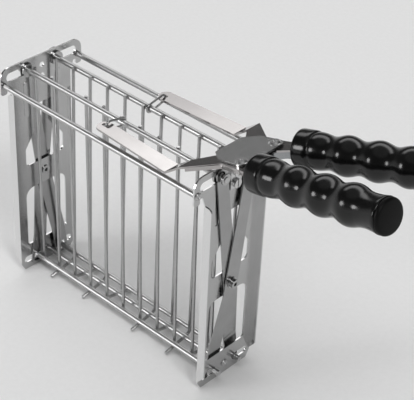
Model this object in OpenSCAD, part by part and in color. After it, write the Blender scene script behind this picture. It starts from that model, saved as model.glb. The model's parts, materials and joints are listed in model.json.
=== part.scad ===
// Hinged wire sandwich basket: two slotted end frames carry two wire grids that
// part when the two handles are squeezed. Millimetres. X along the basket towards
// the handles, Y across the basket, Z up. The frames stand on z = 0.

/* [Basket] */
// inner length between the two end frames
basket_length = 154; // [140:1:180]
// height of the end frames
frame_height = 150; // [144:1:160]
// width of an end frame over its two folds
frame_width = 44.6; // [44:0.2:48]
// width across the ears at the top of an end frame
ear_width = 62.6; // [62:0.2:68]
// depth of the folded flanges
flange_depth = 5.5; // [4:0.5:8]
// sheet thickness of the end frames
sheet = 1; // [0.8:0.1:1.2]

/* [Grids] */
// diameter of the cross rods and tie rods
rod_d = 3.5; // [3.2:0.1:3.8]
// diameter of the upright wires
wire_d = 2; // [1.6:0.1:2.2]
// distance of each closed top rod from the middle
rod_offset = 11; // [10.8:0.1:11.4]
// how far each grid slides outwards
grid_travel = 8; // [6:0.5:8]
// height of the scissor pivots
scissor_z = 68.5; // [67:0.5:70]

/* [Levers] */
// upward slope of the levers and handles
lever_slope = 14; // [12:0.5:16]
// distance of each lever pivot from the middle
pivot_offset = 13; // [12.8:0.1:13.4]
// sheet thickness of the levers
lever_sheet = 1.2; // [1:0.1:1.2]

/* [Handles] */
// diameter of the beads of a grip
grip_d = 21.5; // [19:0.5:23]
// length of a grip with its end cap
grip_length = 90; // [84:1:110]

/* [Fits] */
// radial clearance of the running pivots
pivot_clearance = 0.05; // [0.03:0.01:0.1]
// side clearance of a rod or bush in its slot
slide_clearance = 0.3; // [0.3:0.05:0.4]
// radial gap of pressed and riveted parts
press_gap = 0.02; // [0.01:0.01:0.03]
// gap between flat faces that slide past each other
face_gap = 0.2; // [0.15:0.05:0.25]

/* [Hidden] */
$fn = 48;
big = 400;

// end frames
end_x = basket_length / 2;
out_x = end_x + sheet;
half_w = frame_width / 2;
ear_y = ear_width / 2;
chamfer_y = 2.9;
fold_z = 4.7;
fold_lean = 7;
flange_top = frame_height - 20.6;
ear_root_z = frame_height - 20;
ear_root_w = 2.4;
ear_low_z = frame_height - 13.2;
ear_tab_z = frame_height - 16.8;
tab_w = 4.6;
ear_r = 6.5;
eye_edge = 2.8;
tie_y = ear_y - eye_edge;
tie_z = frame_height - 10.8;
low_tie_z = 7.5;
tie_end_r = 1.25;
tie_end_l = 0.5;
tie_head_h = 1;
tie_head_r = 2.3;
tie_head_top_r = 1.6;
bar_half = 8.5;
upper_half = 15;
neck_half = 7.5;
shoulder_z = scissor_z + 20.5;
neck_z = scissor_z + 31.5;
upper_window_top = frame_height - 32;
lower_half = 16;
lower_window_z = 18;
rib_y = 12.5;
rib_r = 2.25;
rib_lift = 0.4;
rib_low_z = frame_height - 38;
rib_high_z = frame_height - 14.3;
hole_d = 3.5;
hole_gap = 0.05;
hole_low_z = frame_height - 14.5;
hole_high_z = frame_height - 7.1;
over = 1;

// grids
top_z = frame_height - 6.5;
low_z = 7;
rise = top_z - scissor_z;
drop = scissor_z - low_z;
rest_angle = atan(rod_offset / rise);
open_angle = atan((rod_offset + grid_travel) / rise);
low_offset = drop * tan(rest_angle);
top_slot_play = 0.2;
low_slot_gap = 0.55;
low_slot_in = 0.6;
low_slot_out = 0.8;
rod_r = rod_d / 2;
wire_r = wire_d / 2;
weld = 0.15;
wire_in = rod_r + wire_r - weld;
upright_count = 11;
pitch = (basket_length - 7.6) / (upright_count - 1);
near_fingers = [2, 4, 7, 9];
far_fingers = [1, 3, 6, 8];
finger_slope = 12;
finger_reach = 14;
knee_lift = 0.45;
bend_r = 3;
bush_d = 5;
bush_out = 0.3;
bush_flange_d = 8.6;
bush_flange_t = 1.3;
cap_d = 6.5;
cap_t = 1.2;
cap_gap = 0.3;

// scissor arms, in planes one outside the other
arm_t = 0.8;
arm_gap = 0.4;
arm_a_x = out_x + arm_gap;
arm_b_x = arm_a_x + arm_t + arm_gap;
arm_in_gap = 0.3;
arm_in = end_x - arm_in_gap - arm_t - (arm_b_x - arm_a_x);
arm_end_x = arm_b_x + arm_t;
arm_half_top = 4;
arm_half_mid = 5.2;
arm_half_low = 4.6;
arm_over_top = 3.9;
arm_over_low = 5.8;
arm_step_z = -10;
arm_step_end_z = -46;
arm_cut = 20;
slot_play = 0.3;
low_slot_play = 0.1;
washer_play = 0.05;
stack_x = arm_end_x + 2 * washer_play;
rolled_x = stack_x + 0.5;
rivet_end_h = 2.2;
rivet_end_r = 2.7;
rivet_head_in = 0.8;
rivet_head_in_r = 2.8;
shoulder_d = 5;
core_r = 2;
rivet_bore_r = 1.2;
washer_r = 3.4;
slip = (low_offset + grid_travel - drop * tan(open_angle)) * cos(open_angle);
rod_end = 2;
rod_end_x = arm_end_x + rod_end;

// levers, in a plane tilted about the pivots
lever_x = end_x + 16;
lever_z = frame_height + 10;
strip_z = frame_height - 5;
bend_x = end_x - 20.2;
bend_lap = 0.4;
riser_u = -27.7;
tip_x = -1.7;
tip_in = 18.9;
tip_out = 28.3;
tip_r = 4.5;
strip_in = 21.6;
strip_out = 32;
lip_h = 2.8;
lip_t = 1.1;
tab_u0 = 9.4;
tab_u1 = 13.8;
tab_h = 4.5;
tab_t = 1.2;
link_x = 3;
link_slot_w = 4.4;
link_slot_l = 3;
link_y = 22.8;
link_r = 0.7;
link_out_r = 2.3;
link_gap = 0.05;
tang_v = 15.7;
tang_rate = 0.0897;
tang_half = 4.35;
tang_end = 24;
grip_u = 14.5;
grip_v = tang_v + tang_rate * grip_u;
grip_turn = atan(tang_rate);
plate_t = 1.2;
plate_back = 21.1;
plate_back_half = 10.3;
plate_mid = 13.1;
plate_mid_edge = 3.5;
plate_front = 5;
plate_edge = 4.3;
bracket_low_z = frame_height - 17.7;
bracket_half = 4.3;
bracket_edge = 2.5;
bracket_end_x = lever_x + 9;
bracket_end_u = 4;
rivet_d = 5;
rivet_r = rivet_d / 2;
rivet_head_h = 1;
rivet_head_r = 3.5;
rivet_head_top_r = 2.7;
rivet_dimple_r = 1.3;
rivet_dimple_h = 0.7;
rivet_tail_h = 0.8;
rivet_tail_r = 3.2;

// bracket screws and nuts
screw_r = 1.5;
screw_tail = 3;
screw_head_h = 1.6;
screw_head_r = 2.7;
screw_slot_w = 0.8;
screw_slot_h = 0.9;
nut_h = 2.4;
nut_r = 3.1;

// return spring
spring_t = 0.5;
spring_w = 4;
spring_low = -5.5;
spring_u = 4.05;
spring_half = 6;
spring_knee = 7.2;
spring_u1 = 9;
spring_u2 = 13.9;
spring_gap = 0.1;

// shift that puts the origin under the middle of the bounding box
cap_h = 2;
cap_dome = 1;
end_r = grip_d * 0.44;
axis_x = cos(grip_turn) * cos(lever_slope);
end_point = lever_x + grip_u * cos(lever_slope) + 0.5 * lever_sheet * sin(lever_slope);
cap_rim = [[end_r, grip_length - 1], [end_r - 0.5, grip_length - 0.6], [end_r * 0.6, grip_length - 0.2]];
max_x = end_point + max([for (p = cap_rim) p[1] * axis_x + p[0] * sqrt(1 - axis_x * axis_x)]);
min_x = -(rolled_x + rivet_end_h);
mid_x = (max_x + min_x) / 2;

// outline helpers
function unit(v) = v / norm(v);
function corner(a, p, b, r) =
  let (d1 = unit(a - p))
  let (d2 = unit(b - p))
  let (h = acos(d1 * d2) / 2)
  let (c = p + unit(d1 + d2) * r / sin(h))
  let (s = p + d1 * r / tan(h) - c)
  let (e = p + d2 * r / tan(h) - c)
  let (a0 = atan2(s[1], s[0]))
  let (t0 = atan2(e[1], e[0]) - a0)
  let (t = t0 > 180 ? t0 - 360 : t0 < -180 ? t0 + 360 : t0)
  let (n = max(2, ceil(abs(t) / 18)))
  [for (k = [0:n]) c + r * [cos(a0 + t * k / n), sin(a0 + t * k / n)]];
function rounded(pts, radii) = [for (i = [0:len(pts) - 1])
  for (q = radii[i] == 0 ? [pts[i]] : corner(pts[(i + len(pts) - 1) % len(pts)],
    pts[i], pts[(i + 1) % len(pts)], radii[i])) q];
// point of the lever plane, u along it and w above it, in X and Z
function tilted(u, w) = [lever_x + u * cos(lever_slope) - w * sin(lever_slope),
  lever_z + u * sin(lever_slope) + w * cos(lever_slope)];
function plan_x(u) = lever_x + u * cos(lever_slope);
// direction of a line in a plane, in degrees
function heading(a, b) = atan2(b[1] - a[1], b[0] - a[0]);

module placed() { translate([-mid_x, 0, 0]) children(); }
module at_left() { mirror([1, 0, 0]) children(); }
module at_near() { mirror([0, 1, 0]) children(); }
module turned() { rotate([0, 0, 180]) children(); }
// lays a drawing of Y and Z on a plane across X, starting at x
module across(x, h) {
  translate([x, 0, 0]) rotate([90, 0, 90]) linear_extrude(h) children();
}
// lays a drawing of X and Z on a plane across Y, centred
module along(h) { rotate([90, 0, 0]) linear_extrude(h, center = true) children(); }
module rod_x(x0, x1, r, y, z) {
  translate([x0, y, z]) rotate([0, 90, 0]) cylinder(h = x1 - x0, r = r);
}
module tilt() {
  translate([lever_x, 0, lever_z]) rotate([0, -lever_slope, 0]) children();
}
module slot2d(y0, y1, z, r) {
  polygon(rounded([[y0, z - r], [y1, z - r], [y1, z + r], [y0, z + r]],
    [r * 0.98, r * 0.98, r * 0.98, r * 0.98]));
}
module pill2d(y, z0, z1, r) {
  polygon(rounded([[y - r, z0], [y + r, z0], [y + r, z1], [y - r, z1]],
    [r * 0.98, r * 0.98, r * 0.98, r * 0.98]));
}

// end frame: slotted web with ears, two windows and two folded flanges
module web2d() {
  polygon(rounded([[-half_w + chamfer_y, 0], [half_w - chamfer_y, 0],
    [half_w, fold_z], [half_w, ear_root_z], [half_w + ear_root_w, ear_low_z],
    [ear_y - tab_w, ear_low_z], [ear_y - tab_w, ear_tab_z], [ear_y, ear_tab_z],
    [ear_y, frame_height], [-ear_y, frame_height], [-ear_y, ear_tab_z],
    [-ear_y + tab_w, ear_tab_z], [-ear_y + tab_w, ear_low_z],
    [-half_w - ear_root_w, ear_low_z], [-half_w, ear_root_z], [-half_w, fold_z]],
    [0, 0, 0, 1, 1, 0.8, 1.2, 1.6, ear_r, ear_r, 1.6, 1.2, 0.8, 1, 1, 0]));
}
module upper_window2d() {
  polygon(rounded([[-upper_half, scissor_z + bar_half], [upper_half, scissor_z + bar_half],
    [upper_half, shoulder_z], [neck_half, neck_z], [neck_half, upper_window_top],
    [-neck_half, upper_window_top], [-neck_half, neck_z], [-upper_half, shoulder_z]],
    [2.5, 2.5, 1.5, 1.5, 1.5, 1.5, 1.5, 1.5]));
}
module lower_window2d() {
  polygon(rounded([[-lower_half, lower_window_z], [lower_half, lower_window_z],
    [lower_half, scissor_z - bar_half], [-lower_half, scissor_z - bar_half]], [1.5, 1.5, 6, 6]));
}
module end_frame() {
  top_in = rod_offset - bush_d / 2 - slide_clearance - top_slot_play;
  top_out = ear_y - eye_edge - 1.5;
  low_in = low_offset - rod_r - low_slot_in;
  low_out = low_offset + grid_travel + rod_r + low_slot_out;
  difference() {
    union() {
      difference() {
        across(end_x, sheet) web2d();
        across(end_x - over, sheet + 2 * over) upper_window2d();
        across(end_x - over, sheet + 2 * over) lower_window2d();
        for (s = [-1, 1]) {
          across(end_x - over, sheet + 2 * over)
            slot2d(min(s * top_in, s * top_out), max(s * top_in, s * top_out),
              top_z, bush_d / 2 + slide_clearance);
          across(end_x - over, sheet + 2 * over)
            slot2d(min(s * low_in, s * low_out), max(s * low_in, s * low_out),
              low_z, rod_r + low_slot_gap);
          rod_x(end_x - over, out_x + over, tie_end_r + hole_gap, s * tie_y, tie_z);
        }
      }
      for (s = [-1, 1]) {
        across(end_x - rib_lift, rib_lift + 0.2) pill2d(s * rib_y, rib_low_z, rib_high_z, rib_r);
        translate([0, s * (half_w - sheet / 2), 0]) along(sheet)
          polygon(rounded([[end_x, fold_z], [end_x + flange_depth, fold_z + fold_lean],
            [end_x + flange_depth, flange_top], [end_x, flange_top]], [0, 2, 3, 0]));
      }
    }
    for (s = [-1, 1])
      across(out_x - rib_lift, over)
        pill2d(s * rib_y, rib_low_z + rib_lift, rib_high_z - rib_lift, rib_r - rib_lift);
    rod_x(end_x - over, out_x + over, hole_d / 2, 0, hole_low_z);
    rod_x(end_x - over, out_x + over, hole_d / 2, 0, hole_high_z);
    rod_x(end_x - over, out_x + over, tie_end_r + hole_gap, 0, low_tie_z);
    rod_x(end_x - over, out_x + over, core_r + hole_gap, 0, scissor_z);
  }
}
module left_end_frame() { color([0.75, 0.76, 0.78]) placed() at_left() end_frame(); }
module right_end_frame() { color([0.75, 0.76, 0.78]) placed() end_frame(); }

// tie rods: shouldered, riveted over outside both end frames
module tie_rod(y, z) {
  rod_x(-end_x, end_x, rod_r, y, z);
  rod_x(-out_x - tie_end_l, out_x + tie_end_l, tie_end_r, y, z);
  for (s = [-1, 1]) translate([s * out_x, y, z]) rotate([0, s * 90, 0])
    cylinder(h = tie_head_h, r1 = tie_head_r, r2 = tie_head_top_r);
}
module near_tie_rod() { color([0.8, 0.8, 0.82]) placed() tie_rod(-tie_y, tie_z); }
module far_tie_rod() { color([0.8, 0.8, 0.82]) placed() tie_rod(tie_y, tie_z); }
module bottom_tie_rod() { color([0.8, 0.8, 0.82]) placed() tie_rod(0, low_tie_z); }

// bracket that holds the lever pivots, one bent sheet screwed to the right frame
module bridge_bracket() {
  top0 = -face_gap - lever_sheet;
  xf = out_x + plate_t;
  uf = (out_x - lever_x) / cos(lever_slope);
  color([0.72, 0.73, 0.75]) placed() difference() {
    intersection() {
      along(2 * pivot_offset + 20)
        polygon([[out_x, bracket_low_z], [xf, bracket_low_z],
          [xf, lever_z + (xf - lever_x) * tan(lever_slope) + (top0 - plate_t) / cos(lever_slope)],
          tilted(bracket_end_u, top0 - plate_t), tilted(bracket_end_u, top0),
          [out_x, lever_z + (out_x - lever_x) * tan(lever_slope) + top0 / cos(lever_slope)]]);
      linear_extrude(big)
        polygon(rounded([[out_x - 2, -bracket_half], [xf + 0.6, -bracket_half],
          [xf + 4, -pivot_offset - bracket_edge], [bracket_end_x, -pivot_offset - bracket_edge],
          [bracket_end_x, pivot_offset + bracket_edge], [xf + 4, pivot_offset + bracket_edge],
          [xf + 0.6, bracket_half], [out_x - 2, bracket_half]],
          [0, 1, 3, 0, 0, 3, 1, 0]));
    }
    for (z = [hole_low_z, hole_high_z]) rod_x(out_x - over, xf + over, screw_r + hole_gap, 0, z);
    tilt() for (s = [-1, 1])
      translate([0, s * pivot_offset, top0 - plate_t - over])
        cylinder(h = plate_t + 2 * over, r = core_r + press_gap);
  }
}
// top plate over both lever pivots
module bridge_plate() {
  color([0.7, 0.71, 0.73]) placed() tilt() difference() {
    translate([0, 0, face_gap]) linear_extrude(plate_t)
      polygon(rounded([[-plate_back, -plate_back_half], [-plate_mid, -pivot_offset - plate_mid_edge],
        [plate_front, -pivot_offset - plate_edge], [plate_front, pivot_offset + plate_edge],
        [-plate_mid, pivot_offset + plate_mid_edge], [-plate_back, plate_back_half]],
        [1.5, 3, 4.4, 4.4, 3, 1.5]));
    for (s = [-1, 1])
      translate([0, s * pivot_offset, 0]) cylinder(h = plate_t + 2 * over, r = core_r + press_gap);
  }
}
module pivot_rivet() {
  tilt() translate([0, pivot_offset, 0]) {
    translate([0, 0, -lever_sheet - face_gap]) cylinder(h = lever_sheet + 2 * face_gap, r = rivet_r);
    translate([0, 0, -lever_sheet - face_gap - plate_t])
      cylinder(h = lever_sheet + 2 * (face_gap + plate_t), r = core_r);
    difference() {
      translate([0, 0, face_gap + plate_t])
        cylinder(h = rivet_head_h, r1 = rivet_head_r, r2 = rivet_head_top_r);
      translate([0, 0, face_gap + plate_t + rivet_head_h - rivet_dimple_h])
        cylinder(h = rivet_dimple_h + over, r = rivet_dimple_r);
    }
    translate([0, 0, -lever_sheet - face_gap - plate_t - rivet_tail_h])
      cylinder(h = rivet_tail_h, r = rivet_tail_r);
  }
}
module near_pivot_rivet() { color([0.85, 0.85, 0.86]) placed() at_near() pivot_rivet(); }
module far_pivot_rivet() { color([0.85, 0.85, 0.86]) placed() pivot_rivet(); }

// two small screws with nuts hold the bracket to the right end frame
module bracket_screws() {
  color([0.6, 0.6, 0.62]) placed() for (z = [hole_low_z, hole_high_z]) {
    rod_x(end_x - screw_tail, out_x + plate_t, screw_r, 0, z);
    difference() {
      rod_x(out_x + plate_t, out_x + plate_t + screw_head_h, screw_head_r, 0, z);
      translate([out_x + plate_t + screw_head_h - screw_slot_h, -screw_slot_w / 2, z - screw_head_r - over])
        cube([screw_slot_h + over, screw_slot_w, 2 * (screw_head_r + over)]);
    }
  }
}
module bracket_nuts() {
  color([0.6, 0.6, 0.62]) placed() for (z = [hole_low_z, hole_high_z])
    difference() {
      translate([end_x - nut_h, 0, z]) rotate([0, 90, 0]) cylinder(h = nut_h, r = nut_r, $fn = 6);
      rod_x(end_x - nut_h - over, end_x + over, screw_r + press_gap, 0, z);
    }
}

// U shaped leaf spring between the lever lips
module return_spring() {
  v1 = tang_v + tang_rate * spring_u1 - tang_half - spring_gap;
  v2 = tang_v + tang_rate * spring_u2 - tang_half - spring_gap;
  t = spring_t;
  side = [[spring_u, spring_half], [spring_u, spring_knee], [spring_u1, v1], [spring_u2, v2],
    [spring_u2, v2 - t], [spring_u1, v1 - t], [spring_u + t, spring_knee - 0.4 * t],
    [spring_u + t, spring_half]];
  color([0.55, 0.57, 0.6]) placed() tilt() translate([0, 0, spring_low]) linear_extrude(spring_w)
    polygon(concat(side, [for (i = [len(side) - 1:-1:0]) [side[i][0], -side[i][1]]]));
}

// tubular rivet that the scissor arms turn on, and its washers
module arm_rivet() {
  difference() {
    union() {
      rod_x(end_x - rivet_head_in, end_x, rivet_head_in_r, 0, scissor_z);
      rod_x(end_x, out_x, core_r, 0, scissor_z);
      rod_x(out_x, stack_x, shoulder_d / 2, 0, scissor_z);
      rod_x(stack_x, rolled_x, core_r, 0, scissor_z);
      rod_x(rolled_x, rolled_x + rivet_end_h, rivet_end_r, 0, scissor_z);
    }
    rod_x(end_x - rivet_head_in - over, rolled_x + rivet_end_h + over, rivet_bore_r, 0, scissor_z);
  }
}
module ring_x(x0, x1, r, bore, z) {
  difference() {
    rod_x(x0, x1, r, 0, z);
    rod_x(x0 - over, x1 + over, bore, 0, z);
  }
}
module washers() {
  bore = shoulder_d / 2 + press_gap;
  ring_x(out_x, arm_a_x - washer_play, washer_r, bore, scissor_z);
  ring_x(arm_a_x + arm_t + washer_play, arm_b_x - washer_play, washer_r, bore, scissor_z);
  ring_x(stack_x, rolled_x, washer_r, core_r + press_gap, scissor_z);
}
module left_arm_rivet() { color([0.75, 0.75, 0.77]) placed() at_left() arm_rivet(); }
module right_arm_rivet() { color([0.75, 0.75, 0.77]) placed() arm_rivet(); }
module left_washers() { color([0.7, 0.7, 0.72]) placed() at_left() washers(); }
module right_washers() { color([0.7, 0.7, 0.72]) placed() washers(); }

// scissor arm: a bent flat strip, outside the frame above and inside it below
module arm(x) {
  in_x = x - arm_a_x + arm_in;
  far = drop / cos(rest_angle);
  far_open = (low_offset + grid_travel) * sin(open_angle) + drop * cos(open_angle);
  near_d = rise / cos(rest_angle);
  near_open = rise / cos(open_angle);
  room = rod_r + slide_clearance;
  translate([0, 0, scissor_z]) rotate([rest_angle, 0, 0]) difference() {
    intersection() {
      along(arm_cut) polygon([[x, arm_step_z], [x, rise + arm_cut], [x + arm_t, rise + arm_cut],
        [x + arm_t, arm_step_z], [in_x + arm_t, arm_step_end_z], [in_x + arm_t, -drop - arm_cut],
        [in_x, -drop - arm_cut], [in_x, arm_step_end_z]]);
      across(end_x - arm_cut, 2 * arm_cut) polygon(rounded([[-arm_half_top, near_open + arm_over_top],
        [-arm_half_mid, 0], [-arm_half_low, -far - arm_over_low],
        [arm_half_low + slip * 0.5, -far - arm_over_low], [arm_half_mid, 0],
        [arm_half_top, near_open + arm_over_top]], [3.6, 40, 4, 4, 40, 3.6]));
    }
    rod_x(end_x - arm_cut, end_x + arm_cut, shoulder_d / 2 + pivot_clearance, 0, 0);
    across(end_x - arm_cut, 2 * arm_cut)
      pill2d(0, near_d - room - slot_play, near_open + room + slot_play, room);
    across(end_x - arm_cut, 2 * arm_cut) polygon(rounded([[-room, -far_open - room - low_slot_play],
      [slip + room, -far_open - room - low_slot_play], [slip + room, -far + room + low_slot_play],
      [-room, -far + room + low_slot_play]], [1.6, 1.6, 1.6, 1.6]));
  }
}
module left_inner_arm() { color([0.66, 0.67, 0.69]) placed() at_left() arm(arm_a_x); }
module left_outer_arm() { color([0.7, 0.71, 0.73]) placed() at_left() at_near() arm(arm_b_x); }
module right_inner_arm() { color([0.66, 0.67, 0.69]) placed() arm(arm_a_x); }
module right_outer_arm() { color([0.7, 0.71, 0.73]) placed() at_near() arm(arm_b_x); }

// wire grid, drawn on the far side and turned for the near one
module wire(a, b, r) {
  translate([a[0], a[1], 0]) rotate([0, 0, heading(a, b)]) rotate([0, 90, 0])
    cylinder(h = norm(b - a), r = r, $fn = 24);
}
module wire_plane(x) { translate([x, 0, 0]) rotate([90, 0, 90]) children(); }
// places along an arc, each with the direction of its right-hand side
function stations(centre, r, from, turn, steps) = [for (k = [0:steps])
  let (a = from + turn * k / steps)
  [centre[0] + r * cos(a), centre[1] + r * sin(a), turn > 0 ? a : a + 180]];
// a wire through such places, closed into a loop or with two flat ends
module bent_wire(places, r, sides, closed) {
  n = len(places);
  spans = closed ? n : n - 1;
  points = [for (p = places) for (k = [0:sides - 1])
    let (a = 360 * k / sides)
    [p[0] + r * cos(a) * cos(p[2]), p[1] + r * cos(a) * sin(p[2]), r * sin(a)]];
  skin = [for (i = [0:spans - 1]) for (k = [0:sides - 1])
    let (a = i * sides, b = ((i + 1) % n) * sides, next = (k + 1) % sides)
    for (tri = [[a + k, a + next, b + next], [a + k, b + next, b + k]]) tri];
  ends = closed ? [] : [[for (k = [sides - 1:-1:0]) k], [for (k = [0:sides - 1]) (n - 1) * sides + k]];
  polyhedron(points = points, faces = concat(skin, ends));
}
function upright_x(i) = (i - (upright_count - 1) / 2) * pitch;
wire_top = [rod_offset - wire_in, top_z + rod_r];
wire_low = [low_offset - wire_in, low_z - rod_r];
module grid_uprights(skip) {
  for (i = [0:upright_count - 1])
    if (len(search(i, skip)) == 0) wire_plane(upright_x(i)) wire(wire_low, wire_top, wire_r);
}
// an upright that bends under the basket into a finger
module finger_wire(x) {
  down = unit(wire_low - wire_top);
  side = [-cos(finger_slope), -sin(finger_slope)];
  knee = wire_low + [0, knee_lift];
  turn = acos(down * side);
  t = bend_r * tan(turn / 2);
  start = knee - down * t;
  centre = start + bend_r * [down[1], -down[0]];
  from = heading(centre, start);
  tip = knee + side * (wire_low[0] + finger_reach) / cos(finger_slope);
  places = concat([concat(wire_top, from + 180)], stations(centre, bend_r, from, -turn, 6),
    [concat(tip, from - turn + 180)]);
  wire_plane(x) bent_wire(places, wire_r, 16, false);
}
module grid_top_rod() { rod_x(-rod_end_x, rod_end_x, rod_r, rod_offset, top_z); }
module grid_bottom_rod() { rod_x(-rod_end_x, rod_end_x, rod_r, low_offset, low_z); }
module grid_bushes() {
  for (turn = [0, 180])
    rotate([0, 0, turn]) mirror([0, turn == 0 ? 0 : 1, 0]) difference() {
      union() {
        rod_x(end_x - face_gap, out_x + bush_out, bush_d / 2, rod_offset, top_z);
        rod_x(end_x - face_gap - bush_flange_t, end_x - face_gap, bush_flange_d / 2, rod_offset, top_z);
      }
      rod_x(-big, big, rod_r + press_gap, rod_offset, top_z);
    }
}
module grid_caps() {
  for (s = [-1, 1]) difference() {
    translate([s * (arm_end_x + cap_gap + cap_t / 2), 0, 0])
      rod_x(-cap_t / 2, cap_t / 2, cap_d / 2, rod_offset, top_z);
    rod_x(-big, big, rod_r + press_gap, rod_offset, top_z);
  }
}
// closed wire loop that hangs on the top rod and passes through the lever strip
module grid_link(x) {
  r_in = rod_r + link_r + link_gap;
  c_in = [rod_offset, top_z];
  c_out = [link_y - link_out_r, strip_z + link_r + link_gap];
  run = norm(c_out - c_in);
  lean = heading(c_in, c_out);
  skew = asin((r_in - link_out_r) / run);
  wire_plane(x) bent_wire(concat(stations(c_in, r_in, lean + 90 - skew, 180 + 2 * skew, 16),
    stations(c_out, link_out_r, lean - 90 + skew, 180 - 2 * skew, 14)), link_r, 10, true);
}
module near_top_rod() { color([0.8, 0.8, 0.82]) placed() turned() grid_top_rod(); }
module near_bottom_rod() { color([0.8, 0.8, 0.82]) placed() turned() grid_bottom_rod(); }
module near_uprights() { color([0.78, 0.78, 0.8]) placed() at_near() grid_uprights(near_fingers); }
module near_finger_wires() {
  color([0.78, 0.78, 0.8]) placed() at_near() for (i = near_fingers) finger_wire(upright_x(i));
}
module near_bushes() { color([0.6, 0.6, 0.62]) placed() turned() grid_bushes(); }
module near_rod_caps() { color([0.6, 0.6, 0.62]) placed() turned() grid_caps(); }
module near_link() { color([0.75, 0.75, 0.77]) placed() at_near() grid_link(link_x); }
module far_top_rod() { color([0.8, 0.8, 0.82]) placed() grid_top_rod(); }
module far_bottom_rod() { color([0.8, 0.8, 0.82]) placed() grid_bottom_rod(); }
module far_uprights() { color([0.78, 0.78, 0.8]) placed() grid_uprights(far_fingers); }
module far_finger_wires() {
  color([0.78, 0.78, 0.8]) placed() for (i = far_fingers) finger_wire(upright_x(i));
}
module far_bushes() { color([0.6, 0.6, 0.62]) placed() grid_bushes(); }
module far_rod_caps() { color([0.6, 0.6, 0.62]) placed() grid_caps(); }
module far_link() { color([0.75, 0.75, 0.77]) placed() grid_link(link_x); }

// lever: strip over the grid, riser, blade at the pivot and tang in the grip
module lever() {
  slot_x = link_x - 2.8;
  riser = tilted(riser_u, 0);
  riser_low = tilted(riser_u, -lever_sheet);
  end_top = tilted(tang_end, 0);
  end_low = tilted(tang_end, -lever_sheet);
  in_v = tang_v + tang_rate * tang_end - tang_half;
  tab_v0 = tang_v + tang_rate * tab_u0 - tang_half;
  tab_v1 = tang_v + tang_rate * tab_u1 - tang_half;
  difference() {
    union() {
      intersection() {
        along(big) polygon([[tip_x - 5, strip_z], [bend_x + bend_lap, strip_z], riser_low, end_low,
          end_top, riser, [bend_x, strip_z + lever_sheet], [tip_x - 5, strip_z + lever_sheet]]);
        linear_extrude(big) polygon(rounded([[tip_x, tip_in], [bend_x, strip_in], [riser[0], strip_in],
          [plan_x(-19.4), 11], [plan_x(-8), 7], [plan_x(6), 7.5],
          [plan_x(grip_u), grip_v - tang_half], [plan_x(tang_end), in_v],
          [plan_x(tang_end), in_v + 2 * tang_half], [plan_x(grip_u), grip_v + tang_half],
          [plan_x(4), pivot_offset + 6.5], [plan_x(-10.2), 18.2], [riser[0], strip_out],
          [bend_x, strip_out], [tip_x, tip_out]],
          [tip_r, 0, 3, 4, 5, 4, 3, 0, 0, 3, 0, 4, 4, 0, tip_r]));
      }
      tilt() translate([0, 0, -lip_h]) linear_extrude(lip_h - lever_sheet / 2)
        polygon([[grip_u - 0.6, grip_v + tang_half - 0.1], [4, pivot_offset + 6.45],
          [-9.6, 18.2], [-25, 29.8], [-25.7, 28.9], [-9.9, 17], [4, pivot_offset + 5.3],
          [grip_u - 0.6, grip_v + tang_half - 1.2]]);
      tilt() translate([0, 0, -tab_h]) linear_extrude(tab_h - lever_sheet / 2)
        polygon([[tab_u0, tab_v0], [tab_u1, tab_v1], [tab_u1, tab_v1 + tab_t], [tab_u0, tab_v0 + tab_t]]);
    }
    tilt() translate([0, pivot_offset, -5]) cylinder(h = 10, r = rivet_r + pivot_clearance);
    translate([0, 0, strip_z - 2]) linear_extrude(6)
      polygon(rounded([[slot_x, link_y - link_slot_l / 2], [slot_x + link_slot_w, link_y - link_slot_l / 2],
        [slot_x + link_slot_w, link_y + link_slot_l / 2], [slot_x, link_y + link_slot_l / 2]], [1, 1, 1, 1]));
  }
}
module near_lever() { color([0.3, 0.3, 0.32]) placed() at_near() lever(); }
module far_lever() { color([0.3, 0.3, 0.32]) placed() lever(); }

// handles on the axis of the tang
module handle_axis() {
  tilt() translate([grip_u, grip_v, -lever_sheet / 2]) rotate([0, 0, grip_turn])
    rotate([0, 90, 0]) children();
}
tang_in = (tang_end - grip_u) / cos(grip_turn) + 0.1;
body_l = grip_length - cap_h - cap_dome;
core_d = 5;
cup_r = 6;
cup_depth = 7;
cup_gap = 0.1;
end_nut_h = 4;
end_nut_r = 4.6;
plug_h = 2;
plug_lap = 0.2;
bead_top = grip_d / 2;
bead_step = (body_l - 31.5) / 3;
function bead(c, n, half) = [for (k = [0:n])
  let (t = -half + 2 * half * k / n) [bead_top * sqrt(1 - t * t / (half * half * 3.05)), c + t]];
grip_profile = concat(
  [[bead_top - 1.3, 0], [bead_top - 0.5, 0.3], [bead_top - 0.25, 1], [bead_top - 0.25, 9],
   [bead_top - 0.5, 9.5], [bead_top - 0.9, 9.7], [bead_top - 0.7, 12], [bead_top - 1, 15],
   [bead_top - 1.8, 18]],
  bead(20 + bead_step / 2, 10, bead_step / 2),
  bead(20 + bead_step * 1.5, 10, bead_step / 2),
  bead(20 + bead_step * 2.5, 10, bead_step / 2),
  [[bead_top - 2.3, body_l - 10], [bead_top - 2, body_l - 7], [bead_top - 1.5, body_l - 4],
   [end_r + 0.15, body_l - 1], [end_r + 0.1, body_l - 0.3], [end_r - 0.3, body_l]]);
module grip() {
  handle_axis() difference() {
    rotate_extrude() polygon(concat([[0, 0]], grip_profile, [[0, body_l]]));
    translate([0, 0, -over]) cylinder(h = body_l + 2 * over, r = core_d / 2 + press_gap);
    translate([0, 0, (tang_in - over) / 2])
      cube([lever_sheet + cup_gap, 2 * tang_half + cup_gap, tang_in + over], center = true);
    translate([0, 0, body_l - cup_depth]) cylinder(h = cup_depth + over, r = cup_r);
  }
}
module handle_rod() {
  handle_axis() translate([0, 0, tang_in - 0.15]) cylinder(h = body_l - plug_h - tang_in, r = core_d / 2);
}
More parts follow.
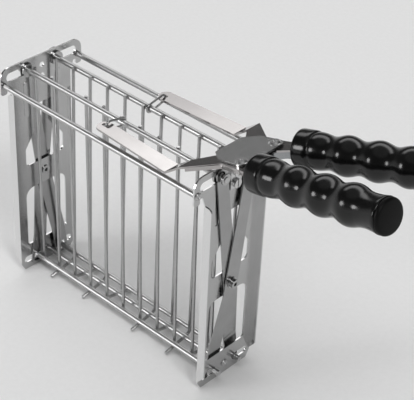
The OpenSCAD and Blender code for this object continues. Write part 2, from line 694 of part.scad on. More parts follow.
module handle_nut() {
  handle_axis() difference() {
    translate([0, 0, body_l - cup_depth + cup_gap]) cylinder(h = end_nut_h, r = end_nut_r, $fn = 6);
    translate([0, 0, body_l - cup_depth - over]) cylinder(h = cup_depth + over, r = core_d / 2 + press_gap);
  }
}
module end_cap() {
  handle_axis() {
    translate([0, 0, body_l - plug_h]) cylinder(h = plug_h + plug_lap, r = cup_r - cup_gap);
    rotate_extrude() polygon(concat([[0, body_l + 0.05], [end_r - 0.4, body_l + 0.05],
      [end_r, body_l + 0.6]], cap_rim, [[0, grip_length]]));
  }
}
module near_handle_rod() { color([0.7, 0.7, 0.72]) placed() at_near() handle_rod(); }
module near_grip() { color([0.05, 0.05, 0.05]) placed() at_near() grip(); }
module near_handle_nut() { color([0.6, 0.6, 0.62]) placed() at_near() handle_nut(); }
module near_end_cap() { color([0.08, 0.08, 0.08]) placed() at_near() end_cap(); }
module far_handle_rod() { color([0.7, 0.7, 0.72]) placed() handle_rod(); }
module far_grip() { color([0.05, 0.05, 0.05]) placed() grip(); }
module far_handle_nut() { color([0.6, 0.6, 0.62]) placed() handle_nut(); }
module far_end_cap() { color([0.08, 0.08, 0.08]) placed() end_cap(); }

left_end_frame();
right_end_frame();
near_tie_rod();
far_tie_rod();
bottom_tie_rod();
bridge_bracket();
bridge_plate();
bracket_screws();
bracket_nuts();
near_pivot_rivet();
far_pivot_rivet();
left_arm_rivet();
right_arm_rivet();
left_washers();
right_washers();
return_spring();
near_top_rod();
near_bottom_rod();
near_uprights();
near_finger_wires();
near_bushes();
near_rod_caps();
near_link();
far_top_rod();
far_bottom_rod();
far_uprights();
far_finger_wires();
far_bushes();
far_rod_caps();
far_link();
left_inner_arm();
left_outer_arm();
right_inner_arm();
right_outer_arm();
near_lever();
near_handle_rod();
near_grip();
near_handle_nut();
near_end_cap();
far_lever();
far_handle_rod();
far_grip();
far_handle_nut();
far_end_cap();
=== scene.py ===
# Looks for the wire sandwich basket: sheet steel, drawn wire and glossy black grips.
import json
import math
import bmesh
import bpy
from mathutils import Matrix, Vector


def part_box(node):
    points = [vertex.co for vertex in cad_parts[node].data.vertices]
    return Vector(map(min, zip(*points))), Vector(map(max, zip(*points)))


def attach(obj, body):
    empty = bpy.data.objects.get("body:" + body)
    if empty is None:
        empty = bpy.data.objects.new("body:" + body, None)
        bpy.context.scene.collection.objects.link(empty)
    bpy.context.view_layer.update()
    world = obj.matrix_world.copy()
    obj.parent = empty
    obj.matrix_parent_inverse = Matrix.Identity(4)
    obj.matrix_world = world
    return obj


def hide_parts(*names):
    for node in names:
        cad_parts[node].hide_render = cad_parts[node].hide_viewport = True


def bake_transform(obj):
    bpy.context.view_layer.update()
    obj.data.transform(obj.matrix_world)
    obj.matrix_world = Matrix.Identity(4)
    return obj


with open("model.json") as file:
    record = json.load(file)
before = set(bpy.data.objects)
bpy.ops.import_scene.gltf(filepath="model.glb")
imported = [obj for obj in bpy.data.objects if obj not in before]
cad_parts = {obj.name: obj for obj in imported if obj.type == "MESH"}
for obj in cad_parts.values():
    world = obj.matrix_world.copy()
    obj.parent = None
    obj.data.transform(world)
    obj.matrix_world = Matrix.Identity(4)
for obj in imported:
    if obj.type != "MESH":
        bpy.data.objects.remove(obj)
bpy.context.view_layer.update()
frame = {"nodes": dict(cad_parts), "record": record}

nodes = frame["nodes"]

# Lengths of the object are in millimetres here, and a length times MM is in metres
MM = 0.001
SIDES = (("near", -1), ("far", 1))

# Sizes that several pieces share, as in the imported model
END_X = 77.0
SHEET = 1.0
OUT_X = END_X + SHEET
TOP_Z = 143.5
LOW_Z = 7.0
TOP_OFF = 11.0
PIVOT_Z = 68.5
LOW_OFF = TOP_OFF * (PIVOT_Z - LOW_Z) / (TOP_Z - PIVOT_Z)
ROD_R = 1.75
WIRE_R = 1.0
WELD_BITE = 0.15
WIRE_IN = ROD_R + WIRE_R - WELD_BITE
UPRIGHTS = 11
UPRIGHT_MARGIN = 3.8
PITCH = (2 * END_X - 2 * UPRIGHT_MARGIN) / (UPRIGHTS - 1)
LEVER_X = END_X + 16.0
LEVER_Z = 160.0
LEVER_SHEET = 1.2
STRIP_Z = 145.0
SLOPE = math.radians(14)

# The middle of the basket along X, in metres
BASKET_X = (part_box("left_end_frame")[0].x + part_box("right_end_frame")[1].x) / 2


def point(x, y, z):
    """A place given in millimetres from the middle of the basket, in metres in the frame."""
    return Vector((BASKET_X + x * MM, y * MM, z * MM))


def lever_point(u, v, w):
    """A place in the lever plane: u up the slope, v across, w above the sheet."""
    x = LEVER_X + u * math.cos(SLOPE) - w * math.sin(SLOPE)
    z = LEVER_Z + u * math.sin(SLOPE) + w * math.cos(SLOPE)
    return point(x, v, z)


def upright_x(i):
    """The place of an upright wire along the basket."""
    return (i - (UPRIGHTS - 1) / 2) * PITCH


# Shader nodes

# The spans of a noise's values over which a roughness and a tone change
NOISE_SPAN = (0.3, 0.7)
TONE_SPAN = (0.35, 0.65)


def new_material(name):
    """A material, its node tree and its shader."""
    mat = bpy.data.materials.new(name)
    mat.use_nodes = True
    return mat, mat.node_tree, mat.node_tree.nodes["Principled BSDF"]


def add(tree, kind, **values):
    """A new node with some of its settings."""
    node = tree.nodes.new(kind)
    for key, value in values.items():
        setattr(node, key, value)
    return node


def combined(tree, operation, a, b):
    """Two values joined by one sum or product."""
    node = add(tree, "ShaderNodeMath", operation=operation)
    tree.links.new(a, node.inputs[0])
    tree.links.new(b, node.inputs[1])
    return node.outputs["Value"]


def along_axis(tree, vector, axis):
    """How far a vector points along an axis."""
    node = add(tree, "ShaderNodeVectorMath", operation="DOT_PRODUCT")
    node.inputs[1].default_value = axis
    tree.links.new(vector, node.inputs[0])
    return node.outputs["Value"]


def unsigned(tree, value):
    """A value without its sign."""
    node = add(tree, "ShaderNodeMath", operation="ABSOLUTE")
    tree.links.new(value, node.inputs[0])
    return node.outputs["Value"]


def carried(tree, value, span, result, curve="SMOOTHSTEP"):
    """A value carried from one span to another."""
    node = add(tree, "ShaderNodeMapRange", interpolation_type=curve)
    node.inputs["From Min"].default_value = span[0]
    node.inputs["From Max"].default_value = span[1]
    node.inputs["To Min"].default_value = result[0]
    node.inputs["To Max"].default_value = result[1]
    tree.links.new(value, node.inputs["Value"])
    return node.outputs["Result"]


def grain(tree, stretch, scale, detail=4.0, rough=0.6):
    """Noise stretched along an axis, in the object's own coordinates."""
    coords = add(tree, "ShaderNodeTexCoord")
    mapping = add(tree, "ShaderNodeMapping")
    mapping.inputs["Scale"].default_value = stretch
    noise = add(tree, "ShaderNodeTexNoise")
    noise.inputs["Scale"].default_value = scale
    noise.inputs["Detail"].default_value = detail
    noise.inputs["Roughness"].default_value = rough
    tree.links.new(coords.outputs["Object"], mapping.inputs["Vector"])
    tree.links.new(mapping.outputs["Vector"], noise.inputs["Vector"])
    return noise.outputs["Fac"]


def two_tone(tree, value, tones):
    """A colour that runs from a darker to a lighter tone."""
    ramp = add(tree, "ShaderNodeValToRGB")
    for element, place, tone in zip(ramp.color_ramp.elements, TONE_SPAN, tones):
        element.position = place
        element.color = (*tone, 1)
    tree.links.new(value, ramp.inputs["Fac"])
    return ramp.outputs["Color"]


def bump(tree, shader, height, strength, distance):
    """Fine relief from a height between 0 and 1, with its depth in metres."""
    node = add(tree, "ShaderNodeBump")
    node.inputs["Strength"].default_value = strength
    node.inputs["Distance"].default_value = distance
    tree.links.new(height, node.inputs["Height"])
    tree.links.new(node.outputs["Normal"], shader.inputs["Normal"])


# Materials

# How the grain is stretched along X, Y and Z
EVEN = (1, 1, 1)
ROLLED_UP = (600, 600, 12)
ROLLED_ALONG = (12, 600, 600)
CUT = (300, 300, 300)
MELTED = (400, 400, 400)

MARKS_SCALE = 34.0
GRAIN_DEPTH = 0.02 * MM
FLOW_DEPTH = 0.04 * MM
FLOW_RELIEF = 0.05
FLOW_TONE = 1.5
PLASTIC_IOR = 1.5
# How pale the painted sheen on the sheet's flanges is, in place of the brighter reflection they catch
FACING_SHEEN_TONE = 0.8


def grey(v, warm=0.0):
    """A grey, neutral or a little warmer or cooler."""
    return (v * (1 + warm), v, v * (1 - warm))


def rosy(v):
    """A grey with a faint pink cast."""
    return (v * 1.04, v, v * 0.99)


def metal(name, tones, roughness, stretch, scale, relief):
    """Steel with a fine rolled or drawn grain and soft handling marks."""
    mat, tree, shader = new_material(name)
    shader.inputs["Metallic"].default_value = 1.0
    fine = grain(tree, stretch, scale, detail=6.0, rough=0.7)
    marks = grain(tree, EVEN, MARKS_SCALE, detail=3.0)
    tree.links.new(two_tone(tree, marks, tones), shader.inputs["Base Color"])
    tree.links.new(carried(tree, fine, NOISE_SPAN, roughness, "LINEAR"), shader.inputs["Roughness"])
    bump(tree, shader, fine, relief, GRAIN_DEPTH)
    return mat


def plastic(name, colour, roughness, scale, specular):
    """Moulded plastic: near black, glossy, with faint flow marks."""
    mat, tree, shader = new_material(name)
    shader.inputs["IOR"].default_value = PLASTIC_IOR
    shader.inputs["Specular IOR Level"].default_value = specular
    flow = grain(tree, EVEN, scale, detail=5.0)
    tones = (colour, tuple(c * FLOW_TONE for c in colour))
    tree.links.new(two_tone(tree, flow, tones), shader.inputs["Base Color"])
    tree.links.new(carried(tree, flow, NOISE_SPAN, roughness, "LINEAR"), shader.inputs["Roughness"])
    bump(tree, shader, flow, FLOW_RELIEF, FLOW_DEPTH)
    return mat


def paint_facing_sheen(mat, axis, colour):
    """Painted sheen: a paler tone on the faces that point along an axis of the object, standing in for
    the brighter reflection that those faces catch.
    """
    tree = mat.node_tree
    geometry = add(tree, "ShaderNodeNewGeometry")
    turn = add(tree, "ShaderNodeVectorTransform", vector_type="NORMAL")
    turn.convert_from = "WORLD"
    turn.convert_to = "OBJECT"
    tree.links.new(geometry.outputs["Normal"], turn.inputs["Vector"])
    share = unsigned(tree, along_axis(tree, turn.outputs["Vector"], axis))
    base = tree.nodes["Principled BSDF"].inputs["Base Color"]
    mix = add(tree, "ShaderNodeMix", data_type="RGBA")
    mix.inputs["B"].default_value = (*colour, 1)
    tree.links.new(share, mix.inputs["Factor"])
    tree.links.new(base.links[0].from_socket, mix.inputs["A"])
    tree.links.new(mix.outputs["Result"], base)


web_steel = metal("web_steel", tones=(grey(0.45), grey(0.5)), roughness=(0.16, 0.26),
                  stretch=ROLLED_UP, scale=6.0, relief=0.15)
# Painted sheen: the flanges, which face along Y, get a paler tone in place of the brighter reflection
# they catch
paint_facing_sheen(web_steel, (0, 1, 0), grey(FACING_SHEEN_TONE))
arm_steel = metal("arm_steel", tones=(grey(0.34), grey(0.4)), roughness=(0.16, 0.26),
                  stretch=ROLLED_UP, scale=6.0, relief=0.15)
lever_steel = metal("lever_steel", tones=(rosy(0.4), rosy(0.45)), roughness=(0.1, 0.18),
                    stretch=ROLLED_ALONG, scale=6.0, relief=0.1)
plate_steel = metal("plate_steel", tones=(grey(0.58), grey(0.64)), roughness=(0.18, 0.28),
                    stretch=ROLLED_ALONG, scale=7.0, relief=0.2)
rod_steel = metal("rod_steel", tones=(grey(0.5), grey(0.56)), roughness=(0.32, 0.4),
                  stretch=ROLLED_ALONG, scale=9.0, relief=0.08)
wire_steel = metal("wire_steel", tones=(grey(0.44), grey(0.5)), roughness=(0.24, 0.32),
                   stretch=ROLLED_UP, scale=9.0, relief=0.08)
bush_steel = metal("bush_steel", tones=(grey(0.4), grey(0.48)), roughness=(0.2, 0.3),
                   stretch=CUT, scale=4.0, relief=0.2)
dark_steel = metal("dark_steel", tones=(grey(0.12), grey(0.18)), roughness=(0.25, 0.4),
                   stretch=CUT, scale=4.0, relief=0.3)
bright_steel = metal("bright_steel", tones=(grey(0.6), grey(0.68)), roughness=(0.2, 0.28),
                     stretch=CUT, scale=4.0, relief=0.1)
spring_steel = metal("spring_steel", tones=(grey(0.3, -0.03), grey(0.38, -0.03)), roughness=(0.2, 0.3),
                     stretch=ROLLED_ALONG, scale=6.0, relief=0.2)
weld_steel = metal("weld_steel", tones=(grey(0.34, 0.02), grey(0.5, 0.02)), roughness=(0.3, 0.45),
                   stretch=MELTED, scale=5.0, relief=0.6)
grip_black = plastic("grip_black", grey(0.003), roughness=(0.15, 0.2), scale=160.0, specular=0.4)
cap_black = plastic("cap_black", grey(0.004), roughness=(0.34, 0.46), scale=220.0, specular=0.1)

SLOT_MATERIALS = {
    "frame_steel": web_steel,
    "arm_steel": arm_steel,
    "lever_steel": lever_steel,
    "plate_steel": plate_steel,
    "rod_steel": rod_steel,
    "wire_steel": wire_steel,
    "bush_steel": bush_steel,
    "dark_hardware": dark_steel,
    "bright_hardware": bright_steel,
    "spring_steel": spring_steel,
    "black_grip": grip_black,
}

slot_of = {row["node"]: row["material_slot"] for row in frame["record"]["subparts"]}
for name, obj in nodes.items():
    for entry in obj.material_slots:
        entry.material = SLOT_MATERIALS[slot_of[name]]
for name in ("left_arm_rivet", "right_arm_rivet"):
    nodes[name].material_slots[0].material = bush_steel


# Softened edges

EDGE_SEGMENTS = 2
EDGE_ANGLE = math.radians(40)

# Width of the softened edge, in millimetres, and the pieces that have it
EDGES = (
    (0.22, ("left_end_frame", "right_end_frame")),
    (0.25, ("near_lever", "far_lever", "bridge_plate", "bridge_bracket")),
    (0.18, ("left_inner_arm", "left_outer_arm", "right_inner_arm", "right_outer_arm")),
    (0.35, ("near_top_rod", "far_top_rod", "near_bottom_rod", "far_bottom_rod")),
    (0.2, ("near_pivot_rivet", "far_pivot_rivet", "left_arm_rivet", "right_arm_rivet")),
    (0.12, ("near_bushes", "far_bushes", "near_rod_caps", "far_rod_caps")),
    (0.12, ("near_handle_nut", "far_handle_nut", "bracket_screws", "bracket_nuts")),
    (0.12, ("left_washers", "right_washers")),
)

for width, names in EDGES:
    for name in names:
        edge = nodes[name].modifiers.new("edges", "BEVEL")
        edge.width = width * MM
        edge.segments = EDGE_SEGMENTS
        edge.limit_method = "ANGLE"
        edge.angle_limit = EDGE_ANGLE
        edge.harden_normals = True


# Mesh helpers

# How a wire's end rounds off: distance from the tip and radius, as shares of the wire's radius
ROUND_END = ((0.0, 0.45), (0.35, 0.82), (0.75, 1.0))


def finish_mesh(name, bm, material, body, smooth=True):
    """Makes an object from a mesh, with its material, slot and body."""
    bmesh.ops.recalc_face_normals(bm, faces=bm.faces)
    mesh = bpy.data.meshes.new(name)
    bm.to_mesh(mesh)
    bm.free()
    mesh.materials.append(material)
    for poly in mesh.polygons:
        poly.use_smooth = smooth
    obj = bpy.data.objects.new(name, mesh)
    bpy.context.collection.objects.link(obj)
    if body:
        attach(obj, body)
    return obj


def add_rings(bm, rings, closed=False):
    """Joins equal rings of points into a skin, which either closes on itself or has two flat ends."""
    rows = [[bm.verts.new(p) for p in ring] for ring in rings]
    count = len(rows[0])
    pairs = list(zip(rows, rows[1:]))
    if closed:
        pairs.append((rows[-1], rows[0]))
    for a, b in pairs:
        for i in range(count):
            j = (i + 1) % count
            bm.faces.new((a[i], a[j], b[j], b[i]))
    if not closed:
        bm.faces.new(rows[0])
        bm.faces.new(list(reversed(rows[-1])))


def add_tube(bm, path, radius, sides, closed=False):
    """A wire along a path of points that runs across X. An open one has rounded ends."""
    points = [Vector(p) for p in path]
    count = len(points)
    full = radius * MM
    radii = [full] * count
    tangents = []
    for i in range(count):
        before = points[i - 1] if (closed or i) else points[i]
        after = points[(i + 1) % count] if (closed or i < count - 1) else points[i]
        tangents.append((after - before).normalized())
    side = Vector((1, 0, 0))
    if not closed:
        head = [points[0] + tangents[0] * full * back for back, _ in ROUND_END]
        tail = [points[-1] - tangents[-1] * full * back for back, _ in reversed(ROUND_END)]
        points = head + points[1:-1] + tail
        ends = len(ROUND_END)
        tangents = [tangents[0]] * ends + tangents[1:-1] + [tangents[-1]] * ends
        shares = [share for _, share in ROUND_END]
        radii = [full * s for s in shares] + radii[1:-1] + [full * s for s in reversed(shares)]
    rings = []
    for centre, tangent, r in zip(points, tangents, radii):
        across = (side - tangent * side.dot(tangent)).normalized()
        over = tangent.cross(across)
        ring = []
        for k in range(sides):
            a = 2 * math.pi * k / sides
            ring.append(centre + (across * math.cos(a) + over * math.sin(a)) * r)
        rings.append(ring)
    add_rings(bm, rings, closed=closed)


def add_lathe(bm, profile, place, sides):
    """Turns (radius, height) points, in millimetres, about the Z axis of a placing matrix."""
    rings = []
    for r, h in profile:
        ring = []
        for k in range(sides):
            a = 2 * math.pi * k / sides
            ring.append(place @ Vector((r * MM * math.cos(a), r * MM * math.sin(a), h * MM)))
        rings.append(ring)
    add_rings(bm, rings)


def placing(origin, axis, aside):
    """A matrix whose Z is the axis and whose origin is the given point."""
    z = axis.normalized()
    x = (aside - z * aside.dot(z)).normalized()
    y = z.cross(x)
    m = Matrix((x, y, z)).transposed().to_4x4()
    m.translation = origin
    return m


def arc(centre, radius, start, end, steps):
    """Points of an arc in a plane, in degrees, as pairs."""
    out = []
    for k in range(steps + 1):
        a = math.radians(start + (end - start) * k / steps)
        out.append((centre[0] + radius * math.cos(a), centre[1] + radius * math.sin(a)))
    return out


def soft_corner(a, b, c, steps):
    """Points of a curve from a to c that bends towards b."""
    out = []
    for k in range(steps + 1):
        t = k / steps
        out.append(a.lerp(b, t).lerp(b.lerp(c, t), t))
    return out


# Grips: one lathe each, with a collar, a half bead, three beads and a flared end

GRIP_D = 21.5
GRIP_L = 90.0
GRIP_U = 14.5
GRIP_SIDES = 96
TANG_RATE = 0.0897
TANG_V = 15.7
CAP_L = 3.0
SLEEVE_L = GRIP_L - CAP_L
BEAD_TOP = GRIP_D / 2
END_R = GRIP_D * 0.44
FOOT_R = 5.0
FOOT_H = 0.05
BEADS = 3
BEAD_STEPS = 16
BEADS_START = 20.0
BEADS_END = SLEEVE_L - 11.5
GROOVE = 1.9

# The collar and the half bead, as (depth below the beads' tops, height)
COLLAR = ((1.6, FOOT_H), (0.9, 0.15), (0.45, 0.5), (0.3, 1.1), (0.27, 3.0), (0.27, 6.5), (0.3, 8.6),
          (0.45, 9.2), (0.95, 9.55))
HALF_BEAD = ((1.05, 9.8), (0.85, 10.4), (0.72, 12.0), (0.9, 14.2), (1.35, 16.6), (1.78, 18.7))
# The flared end, as (depth below the beads' tops, distance before the end)
FLARE = ((2.05, 10.0), (2.0, 7.6), (1.75, 4.8), (1.45, 2.5))
# Its lip, as (distance outside the end's radius, distance before the end)
LIP = ((0.12, 0.9), (0.02, 0.35), (-0.35, 0.02), (-1.5, 0.0))


def bead(centre, half):
    """A rounded bead that runs softly into the groove on each side."""
    out = []
    for k in range(BEAD_STEPS + 1):
        turn = math.pi * (2 * k / BEAD_STEPS - 1)
        out.append((BEAD_TOP - GROOVE * (1 - math.cos(turn)) / 2, centre + half * turn / math.pi))
    return out


def grip_profile():
    """The grip's outline, from the foot of the collar to the end of the sleeve."""
    step = (BEADS_END - BEADS_START) / BEADS
    out = [(FOOT_R, FOOT_H)]
    out += [(BEAD_TOP - depth, height) for depth, height in COLLAR + HALF_BEAD]
    for k in range(BEADS):
        points = bead(BEADS_START + step * (k + 0.5), step / 2)
        out += points if k == 0 else points[1:]
    out += [(BEAD_TOP - depth, SLEEVE_L - back) for depth, back in FLARE]
    out += [(END_R + outside, SLEEVE_L - back) for outside, back in LIP]
    return out


def handle_place(sign):
    """A matrix that stands on the start of a grip and points along it."""
    turn = math.atan(TANG_RATE)
    along = Vector((math.cos(SLOPE), 0, math.sin(SLOPE)))
    over = Vector((-math.sin(SLOPE), 0, math.cos(SLOPE)))
    axis = along * math.cos(turn) + Vector((0, sign, 0)) * math.sin(turn)
    origin = lever_point(GRIP_U, sign * (TANG_V + TANG_RATE * GRIP_U), -LEVER_SHEET / 2)
    return placing(origin, axis, over)


# End caps: a plug with a rounded rim and a slightly domed face

CAP_R = END_R - 0.02
CAP_BACK_R = 2.0
CAP_TIP_R = 0.3
CAP_TIP_DROP = 0.02
CAP_RIM = 1.7
CAP_RIM_DROP = 0.4
CAP_RIM_TURN = 84
CAP_RIM_STEPS = 7
CAP_GAP = 0.1
# The cap's foot, as (depth inside the end's radius, height above the sleeve)
CAP_FOOT = ((0.6, CAP_GAP), (0.2, 0.3), (0.02, 0.7))
# Its face, as (share of the end's radius, depth below the grip's end)
CAP_FACE = ((0.62, 0.26), (0.35, 0.1))


def cap_profile():
    """The cap's outline, from its back to the middle of its face."""
    out = [(CAP_BACK_R, SLEEVE_L + CAP_GAP)]
    out += [(END_R - depth, SLEEVE_L + height) for depth, height in CAP_FOOT]
    rim = (CAP_R - CAP_RIM, GRIP_L - CAP_RIM_DROP - CAP_RIM)
    out += arc(rim, CAP_RIM, 0, CAP_RIM_TURN, CAP_RIM_STEPS)
    out += [(END_R * share, GRIP_L - drop) for share, drop in CAP_FACE]
    return out + [(CAP_TIP_R, GRIP_L - CAP_TIP_DROP)]


for side, sign in SIDES:
    place = handle_place(sign)
    body = side + "_lever_body"
    bm = bmesh.new()
    add_lathe(bm, grip_profile(), place, GRIP_SIDES)
    grip = finish_mesh(side + "_grip_skin", bm, grip_black, body)
    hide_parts(side + "_grip")
    bm = bmesh.new()
    add_lathe(bm, cap_profile(), place, GRIP_SIDES)
    cap = finish_mesh(side + "_cap_skin", bm, cap_black, body)
    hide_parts(side + "_end_cap")


# Finger wires: smooth bends in place of the jointed solids

FINGERS = {"near": (2, 4, 7, 9), "far": (1, 3, 6, 8)}
FINGER_SLOPE = math.radians(12)
FINGER_REACH = 14.0
FINGER_SIDES = 20
KNEE_LIFT = 0.45
BEND_R = 3.0
BEND_STEPS = 10
STRAIGHT_STEPS = 8


def finger_path():
    """The middle line of one finger wire, as (distance from the middle, height)."""
    top = Vector((TOP_OFF - WIRE_IN, TOP_Z + ROD_R))
    low = Vector((LOW_OFF - WIRE_IN, LOW_Z - ROD_R))
    down = (low - top).normalized()
    aside = Vector((-math.cos(FINGER_SLOPE), -math.sin(FINGER_SLOPE)))
    knee = low + Vector((0, KNEE_LIFT))
    turn = math.acos(down.dot(aside))
    reach = BEND_R * math.tan(turn / 2)
    start = knee - down * reach
    centre = start + BEND_R * Vector((down.y, -down.x))
    first = math.degrees(math.atan2(start.y - centre.y, start.x - centre.x))
    bend = arc(centre, BEND_R, first, first - math.degrees(turn), BEND_STEPS)
    tip = knee + aside * ((low.x + FINGER_REACH) / math.cos(FINGER_SLOPE))
    straight = [top.lerp(start, k / STRAIGHT_STEPS) for k in range(STRAIGHT_STEPS)]
    return [tuple(p) for p in straight] + bend + [tuple(tip)]


for side, sign in SIDES:
    bm = bmesh.new()
    for i in FINGERS[side]:
        path = [point(upright_x(i), sign * y, z) for y, z in finger_path()]
        add_tube(bm, path, WIRE_R, FINGER_SIDES)
    wires = finish_mesh(side + "_bent_wires", bm, wire_steel, side + "_grid")
    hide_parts(side + "_finger_wires")


# Tie rods: a shoulder inside each sheet, a thin end through it and a rolled hollow head outside

TIE_Y = 28.5
TIE_Z = 139.2
LOW_TIE_Z = 7.5
TIE_PLACES = {"near": (-TIE_Y, TIE_Z), "far": (TIE_Y, TIE_Z), "bottom": (0, LOW_TIE_Z)}
TIE_SIDES = 40
TIE_END_R = 1.25

# The shoulder, as (depth below the rod's surface, distance before the sheet)
TIE_SHOULDER = ((0.0, 0.8), (0.0, 0.5), (0.12, 0.15), (0.3, 0.0))
# The head, as (radius, height above the sheet), from its foot over the rim and down into its hollow
TIE_HEAD = ((2.3, 0.0), (2.27, 0.35), (2.0, 0.75), (1.6, 0.98), (1.25, 0.98), (0.95, 0.8), (0.85, 0.35),
            (0.05, 0.25))


def tie_profile():
    """A tie rod's outline from one hollow head to the other."""
    half = [(ROD_R - depth, END_X - before) for depth, before in TIE_SHOULDER]
    half += [(TIE_END_R, END_X), (TIE_END_R, OUT_X)]
    half += [(r, OUT_X + height) for r, height in TIE_HEAD]
    return [(r, -x) for r, x in reversed(half)] + half


for side, (y, z) in TIE_PLACES.items():
    bm = bmesh.new()
    add_lathe(bm, tie_profile(), placing(point(0, y, z), Vector((1, 0, 0)), Vector((0, 1, 0))), TIE_SIDES)
    rod = finish_mesh(side + "_tie_bar", bm, rod_steel, "frame_body")
    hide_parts(side + "_tie_rod")


# Return spring: one flat strip in two halves, each bearing on one of the levers

SPRING_T = 0.5
SPRING_LOW = -5.5
SPRING_W = 4.0
SPRING_U = 4.3
SPRING_STEPS = 6

# Places in the lever plane, as (up the slope, across)
SPRING_MIDDLE = ((SPRING_U, 0), (SPRING_U, 2), (SPRING_U, 4))
SPRING_KNEE_START = (SPRING_U, 5.6)
SPRING_KNEE = (SPRING_U, 7.1)
SPRING_ELBOW = (9.0, 11.8)
SPRING_TIP = (13.9, 12.25)

# Where the two bends end and begin, as shares of the straight runs between their peaks
KNEE_END = 0.3
ELBOW_START = 0.75
ELBOW_END = 0.25
TIP_MIDDLE = 0.6


def spring_path():
    """The middle line of one half of the spring: a flat middle, a knee, an elbow and a straight tip."""
    start, knee, elbow, tip = map(Vector, (SPRING_KNEE_START, SPRING_KNEE, SPRING_ELBOW, SPRING_TIP))
    path = [Vector(p) for p in SPRING_MIDDLE]
    path += soft_corner(start, knee, knee.lerp(elbow, KNEE_END), SPRING_STEPS)
    path += soft_corner(knee.lerp(elbow, ELBOW_START), elbow, elbow.lerp(tip, ELBOW_END), SPRING_STEPS)
    return path + [elbow.lerp(tip, TIP_MIDDLE), tip]


def spring_point(place, sign, w):
    """A place of the spring on the near or far side, w above the sheet."""
    return lever_point(place[0], sign * place[1], w)


def spring_rings(sign):
    """The strip's four corners at each point of its middle line."""
    path = spring_path()
    rings = []
    for k, p in enumerate(path):
        along = (path[min(k + 1, len(path) - 1)] - path[max(k - 1, 0)]).normalized()
        aside = Vector((-along.y, along.x)) * SPRING_T / 2
        ring = []
        for q, w in ((p - aside, 0), (p + aside, 0), (p + aside, SPRING_W), (p - aside, SPRING_W)):
            ring.append(spring_point(q, sign, SPRING_LOW + w))
        rings.append(ring)
    return rings


for side, sign in SIDES:
    bm = bmesh.new()
    add_rings(bm, spring_rings(sign))
    leaf = finish_mesh(side + "_spring_leaf", bm, spring_steel, None, smooth=False)
    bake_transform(leaf)
    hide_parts("return_spring")


# Wire links

LINK_X = 3.0
LINK_R = 0.7
LINK_GAP = 0.05
LINK_Y = 22.8
LINK_OUT_R = 2.3
LINK_SIDES = 16
LINK_IN_STEPS = 24
LINK_OUT_STEPS = 20


def link_path():
    """A closed loop round the top rod and through the strip, as (distance from the middle, height)."""
    r_in = ROD_R + LINK_R + LINK_GAP
    c_in = Vector((TOP_OFF, TOP_Z))
    c_out = Vector((LINK_Y - LINK_OUT_R, STRIP_Z + LINK_R + LINK_GAP))
    run = c_out - c_in
    lean = math.degrees(math.atan2(run.y, run.x))
    skew = math.degrees(math.asin((r_in - LINK_OUT_R) / run.length))
    inner = arc(c_in, r_in, lean + 90 - skew, lean + 270 + skew, LINK_IN_STEPS)
    outer = arc(c_out, LINK_OUT_R, lean - 90 + skew, lean + 90 - skew, LINK_OUT_STEPS)
    return inner + outer


for side, sign in SIDES:
    bm = bmesh.new()
    path = [point(LINK_X, sign * y, z) for y, z in link_path()]
    add_tube(bm, path, LINK_R, LINK_SIDES, closed=True)
    loop = finish_mesh(side + "_link_wire", bm, wire_steel, side + "_grid")
    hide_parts(side + "_link")


# Resistance welds where the wires cross the rods

WELD_REACH = (1.35, 0.45, 0.9)
WELD_BANDS = 6
WELD_SIDES = 10


def add_weld(bm, centre):
    """A small flattened lens of melted metal."""
    rings = []
    for k in range(1, WELD_BANDS):
        a = math.pi * k / WELD_BANDS
        ring = []
        for j in range(WELD_SIDES):
            b = 2 * math.pi * j / WELD_SIDES
            x = WELD_REACH[0] * math.cos(a)
            y = WELD_REACH[1] * math.sin(a) * math.cos(b)
            z = WELD_REACH[2] * math.sin(a) * math.sin(b)
            ring.append(centre + Vector((x, y, z)) * MM)
        rings.append(ring)
    add_rings(bm, rings)


for side, sign in SIDES:
    bm = bmesh.new()
    for i in range(UPRIGHTS):
        add_weld(bm, point(upright_x(i), sign * (TOP_OFF - ROD_R), TOP_Z))
        add_weld(bm, point(upright_x(i), sign * (LOW_OFF - ROD_R), LOW_Z))
    finish_mesh(side + "_welds", bm, weld_steel, side + "_grid")


# Stage: one wide sheet of pale paper, a hair below the object

FLOOR_SIZE = 8.0
FLOOR_DROP = 0.0002
PAPER_TONES = (grey(0.79), grey(0.81))
PAPER_SCALE = 300.0

bm = bmesh.new()
bmesh.ops.create_grid(bm, x_segments=1, y_segments=1, size=FLOOR_SIZE)
floor_mesh = bpy.data.meshes.new("floor")
bm.to_mesh(floor_mesh)
bm.free()
floor = bpy.data.objects.new("floor", floor_mesh)
floor.location.z = -FLOOR_DROP
bpy.context.collection.objects.link(floor)
floor_mat, tree, shader = new_material("floor_paper")
shader.inputs["Roughness"].default_value = 0.95
shader.inputs["Specular IOR Level"].default_value = 0.05
fibre = grain(tree, EVEN, PAPER_SCALE)
tree.links.new(two_tone(tree, fibre, PAPER_TONES), shader.inputs["Base Color"])
floor_mesh.materials.append(floor_mat)


# Light: three distant lamps, and a dim room with a pale horizon and one soft panel behind the basket

def direction(azimuth, elevation):
    """Towards a place on the sky, in degrees from +X and above the floor."""
    a = math.radians(azimuth)
    e = math.radians(elevation)
    return Vector((math.cos(a) * math.cos(e), math.sin(a) * math.cos(e), math.sin(e)))


def distant_lamp(name, azimuth, elevation, strength, width):
    """A lamp far away, as wide as the given angle."""
    data = bpy.data.lights.new(name, "SUN")
    data.energy = strength
    data.angle = math.radians(width)
    obj = bpy.data.objects.new(name, data)
    obj.rotation_euler = direction(azimuth, elevation).to_track_quat("Z", "Y").to_euler()
    bpy.context.collection.objects.link(obj)
    return obj


distant_lamp("right_key", azimuth=-21, elevation=46, strength=0.8, width=17)
distant_lamp("left_low", azimuth=-124, elevation=15, strength=0.75, width=18)
overhead = distant_lamp("overhead", azimuth=-110, elevation=78, strength=1.2, width=50)
overhead.visible_glossy = False

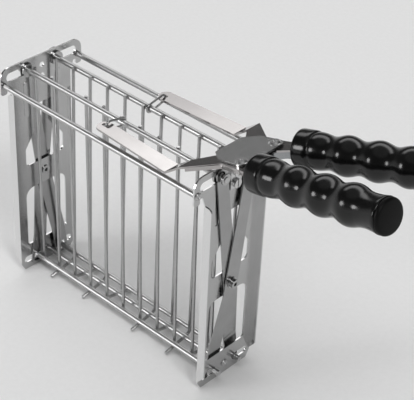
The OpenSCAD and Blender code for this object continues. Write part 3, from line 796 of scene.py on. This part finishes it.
PANEL_AZIMUTH = 140
PANEL_ELEVATION = 40
PANEL_HALF_WIDTH = 0.42
PANEL_HALF_HEIGHT = 0.15
PANEL_BLUR = 0.08
PANEL_FRONT = (0.3, 0.5)
PANEL_LIGHT = 2.6
HORIZON_SPAN = (0.08, 0.24)
HORIZON_LIGHT = 0.55
WALL_LIGHT = 0.08
CEILING_SPAN = (0.72, 0.88)
CEILING_LIGHT = 0.28


def panel_share(tree, sky, across, half):
    """1 inside the panel's span along one of its own directions, 0 well outside it."""
    distance = unsigned(tree, along_axis(tree, sky, across))
    return carried(tree, distance, (half - PANEL_BLUR, half + PANEL_BLUR), (1, 0))


world = bpy.data.worlds.new("studio")
bpy.context.scene.world = world
world.use_nodes = True
tree = world.node_tree
sky = add(tree, "ShaderNodeTexCoord").outputs["Generated"]
split = add(tree, "ShaderNodeSeparateXYZ")
tree.links.new(sky, split.inputs["Vector"])
height = split.outputs["Z"]

toward = direction(PANEL_AZIMUTH, PANEL_ELEVATION)
sideways = direction(PANEL_AZIMUTH - 90, 0)
upwards = toward.cross(sideways)
panel = carried(tree, along_axis(tree, sky, toward), PANEL_FRONT, (0, PANEL_LIGHT))
panel = combined(tree, "MULTIPLY", panel, panel_share(tree, sky, sideways, PANEL_HALF_WIDTH))
panel = combined(tree, "MULTIPLY", panel, panel_share(tree, sky, upwards, PANEL_HALF_HEIGHT))
glow = carried(tree, height, HORIZON_SPAN, (HORIZON_LIGHT - WALL_LIGHT, 0))
room = carried(tree, height, CEILING_SPAN, (WALL_LIGHT, CEILING_LIGHT))
light = combined(tree, "ADD", combined(tree, "ADD", panel, glow), room)
tree.links.new(light, tree.nodes["Background"].inputs["Color"])


# Camera: its place is in millimetres from the middle of the basket, its focal length in picture pixels

IMAGE_W = 414
LENS_PIXELS = 1364.33
FRAMING_PIXELS = 2.5
SENSOR_MM = 36.0
CAMERA_AZIMUTH = math.radians(41.66)
CAMERA_ELEVATION = math.radians(34.86)
CAMERA_ROLL = math.radians(2.75)
CAMERA_MM = (468.7, -458.5, 542.2)

look = Vector((-math.sin(CAMERA_AZIMUTH) * math.cos(CAMERA_ELEVATION),
               math.cos(CAMERA_AZIMUTH) * math.cos(CAMERA_ELEVATION),
               -math.sin(CAMERA_ELEVATION)))
flat_right = Vector((math.cos(CAMERA_AZIMUTH), math.sin(CAMERA_AZIMUTH), 0))
flat_up = flat_right.cross(look)
right = flat_right * math.cos(CAMERA_ROLL) + flat_up * math.sin(CAMERA_ROLL)
up = flat_up * math.cos(CAMERA_ROLL) - flat_right * math.sin(CAMERA_ROLL)
camera_data = bpy.data.cameras.new("camera")
camera_data.sensor_width = SENSOR_MM
camera_data.lens = LENS_PIXELS / IMAGE_W * SENSOR_MM
camera_data.shift_x = -FRAMING_PIXELS / IMAGE_W
camera = bpy.data.objects.new("camera", camera_data)
pose = Matrix((right, up, -look)).transposed().to_4x4()
pose.translation = point(*CAMERA_MM)
camera.matrix_world = pose
bpy.context.collection.objects.link(camera)
bpy.context.scene.camera = camera
bpy.context.scene.view_settings.view_transform = "Standard"
